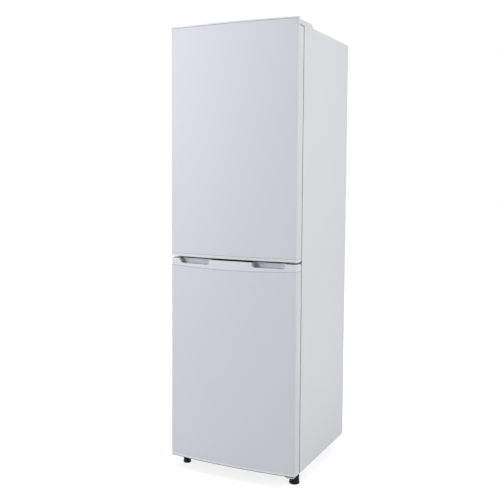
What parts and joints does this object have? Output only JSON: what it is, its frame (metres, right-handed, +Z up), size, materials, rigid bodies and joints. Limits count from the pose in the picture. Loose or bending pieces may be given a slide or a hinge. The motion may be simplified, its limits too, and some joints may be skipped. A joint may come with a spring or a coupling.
{
  "type": "fridge freezer",
  "caption": "Slim upright fridge freezer: bowed white doors one above the other, finger grips between them, shelves, bins, crisper, drawers, compressor niche, feet and rollers.",
  "frame": {"origin": "on the floor, under the middle of the whole object's bounding box", "axes": "+X to the right seen from the front, -Y out of the doors, +Z up"},
  "size_m": [0.474, 0.5192, 1.549],
  "materials": {
    "white_paint": "satin",
    "white_plastic": "satin",
    "liner_plastic": "satin",
    "clear_plastic": "gloss",
    "shelf_glass": "gloss",
    "gasket_rubber": "matte",
    "bare_steel": "satin",
    "black_paint": "satin",
    "black_plastic": "matte",
    "copper": "satin",
    "foam": "matte"
  },
  "bodies": {
    "cabinet": {"cabinet_wrap": "white_paint", "rear_panel": "white_paint", "rear_spacers": "white_plastic", "insulation_foam": "foam", "fridge_liner": "liner_plastic", "freezer_liner": "liner_plastic", "divider_rail": "white_paint", "front_rail": "white_paint", "base_plate": "bare_steel", "compressor_deck": "bare_steel", "top_hinge_bracket": "bare_steel", "top_hinge_cover": "white_plastic", "middle_hinge_bracket": "bare_steel", "bottom_hinge_bracket": "bare_steel", "hinge_screws": "bare_steel", "compressor": "black_paint", "compressor_grommets": "gasket_rubber", "relay_cover": "black_plastic", "refrigerant_pipes": "copper", "filter_drier": "copper", "drip_tray": "black_plastic", "drain_tube": "white_plastic", "mains_gland": "black_plastic", "control_housing": "white_plastic", "lamp_cover": "clear_plastic", "fridge_shelf_1": "shelf_glass", "fridge_shelf_2": "shelf_glass", "fridge_shelf_3": "shelf_glass", "shelf_trims": "white_plastic", "crisper_cover": "shelf_glass", "freezer_shelf_1": "shelf_glass", "freezer_shelf_2": "shelf_glass", "roller_axles": "bare_steel"},
    "temperature_dial": {"temperature_dial": "white_plastic"},
    "crisper": {"crisper": "clear_plastic"},
    "freezer_drawer_1": {"freezer_drawer_1": "clear_plastic"},
    "freezer_drawer_2": {"freezer_drawer_2": "clear_plastic"},
    "freezer_drawer_3": {"freezer_drawer_3": "clear_plastic"},
    "levelling_foot_left": {"levelling_foot_left": "black_plastic"},
    "levelling_foot_right": {"levelling_foot_right": "black_plastic"},
    "rear_roller_left": {"rear_roller_left": "black_plastic"},
    "rear_roller_right": {"rear_roller_right": "black_plastic"},
    "fridge_door": {"fridge_door_skin": "white_paint", "fridge_door_top_cap": "white_plastic", "fridge_door_bottom_cap": "white_plastic", "fridge_door_foam": "foam", "fridge_door_liner": "liner_plastic", "fridge_door_gasket": "gasket_rubber", "fridge_door_bushes": "white_plastic"},
    "freezer_door": {"freezer_door_skin": "white_paint", "freezer_door_grip_cap": "white_plastic", "freezer_door_bottom_cap": "white_plastic", "freezer_door_foam": "foam", "freezer_door_liner": "liner_plastic", "freezer_door_gasket": "gasket_rubber", "freezer_door_bushes": "white_plastic"},
    "door_bin_upper": {"door_bin_upper": "clear_plastic", "egg_tray": "white_plastic"},
    "door_bin_middle": {"door_bin_middle": "clear_plastic"},
    "bottle_bin": {"bottle_bin": "clear_plastic"}
  },
  "joints": [
    {"name": "fridge_door_hinge", "type": "hinge", "parent": "cabinet", "child": "fridge_door", "pos_m": [0.225, -0.22035, 1.15], "axis": [0, 0, 1], "range_deg": [0, 108]},
    {"name": "freezer_door_hinge", "type": "hinge", "parent": "cabinet", "child": "freezer_door", "pos_m": [0.225, -0.22035, 0.4], "axis": [0, 0, 1], "range_deg": [0, 108]},
    {"name": "door_bin_upper_lift", "type": "slide", "parent": "fridge_door", "child": "door_bin_upper", "axis": [0, 0, 1], "range_m": [0, 0.03]},
    {"name": "door_bin_middle_lift", "type": "slide", "parent": "fridge_door", "child": "door_bin_middle", "axis": [0, 0, 1], "range_m": [0, 0.03]},
    {"name": "bottle_bin_lift", "type": "slide", "parent": "fridge_door", "child": "bottle_bin", "axis": [0, 0, 1], "range_m": [0, 0.03]},
    {"name": "crisper_slide", "type": "slide", "parent": "cabinet", "child": "crisper", "axis": [0, -1, 0], "range_m": [0, 0.22]},
    {"name": "freezer_drawer_1_slide", "type": "slide", "parent": "cabinet", "child": "freezer_drawer_1", "axis": [0, -1, 0], "range_m": [0, 0.15]},
    {"name": "freezer_drawer_2_slide", "type": "slide", "parent": "cabinet", "child": "freezer_drawer_2", "axis": [0, -1, 0], "range_m": [0, 0.28]},
    {"name": "freezer_drawer_3_slide", "type": "slide", "parent": "cabinet", "child": "freezer_drawer_3", "axis": [0, -1, 0], "range_m": [0, 0.28]},
    {"name": "temperature_dial_turn", "type": "hinge", "parent": "cabinet", "child": "temperature_dial", "pos_m": [0.0375, -0.07935, 1.4695], "axis": [0, -1, 0], "range_deg": [-135, 135]},
    {"name": "levelling_foot_left_turn", "type": "hinge", "parent": "cabinet", "child": "levelling_foot_left", "pos_m": [-0.2094, -0.17935, 0.04], "axis": [0, 0, 1], "continuous": true},
    {"name": "levelling_foot_right_turn", "type": "hinge", "parent": "cabinet", "child": "levelling_foot_right", "pos_m": [0.2094, -0.17935, 0.04], "axis": [0, 0, 1], "continuous": true},
    {"name": "rear_roller_left_spin", "type": "hinge", "parent": "cabinet", "child": "rear_roller_left", "pos_m": [-0.178, 0.21765, 0.02], "axis": [1, 0, 0], "continuous": true},
    {"name": "rear_roller_right_spin", "type": "hinge", "parent": "cabinet", "child": "rear_roller_right", "pos_m": [0.178, 0.21765, 0.02], "axis": [1, 0, 0], "continuous": true}
  ],
  "couplings": [
    {"joint": "crisper_slide", "follows": "fridge_door_hinge", "m_per_rad": 0.07},
    {"joint": "freezer_drawer_1_slide", "follows": "freezer_door_hinge", "m_per_rad": 0.045},
    {"joint": "freezer_drawer_2_slide", "follows": "freezer_door_hinge", "m_per_rad": 0.045},
    {"joint": "freezer_drawer_3_slide", "follows": "freezer_door_hinge", "m_per_rad": 0.045}
  ]
}
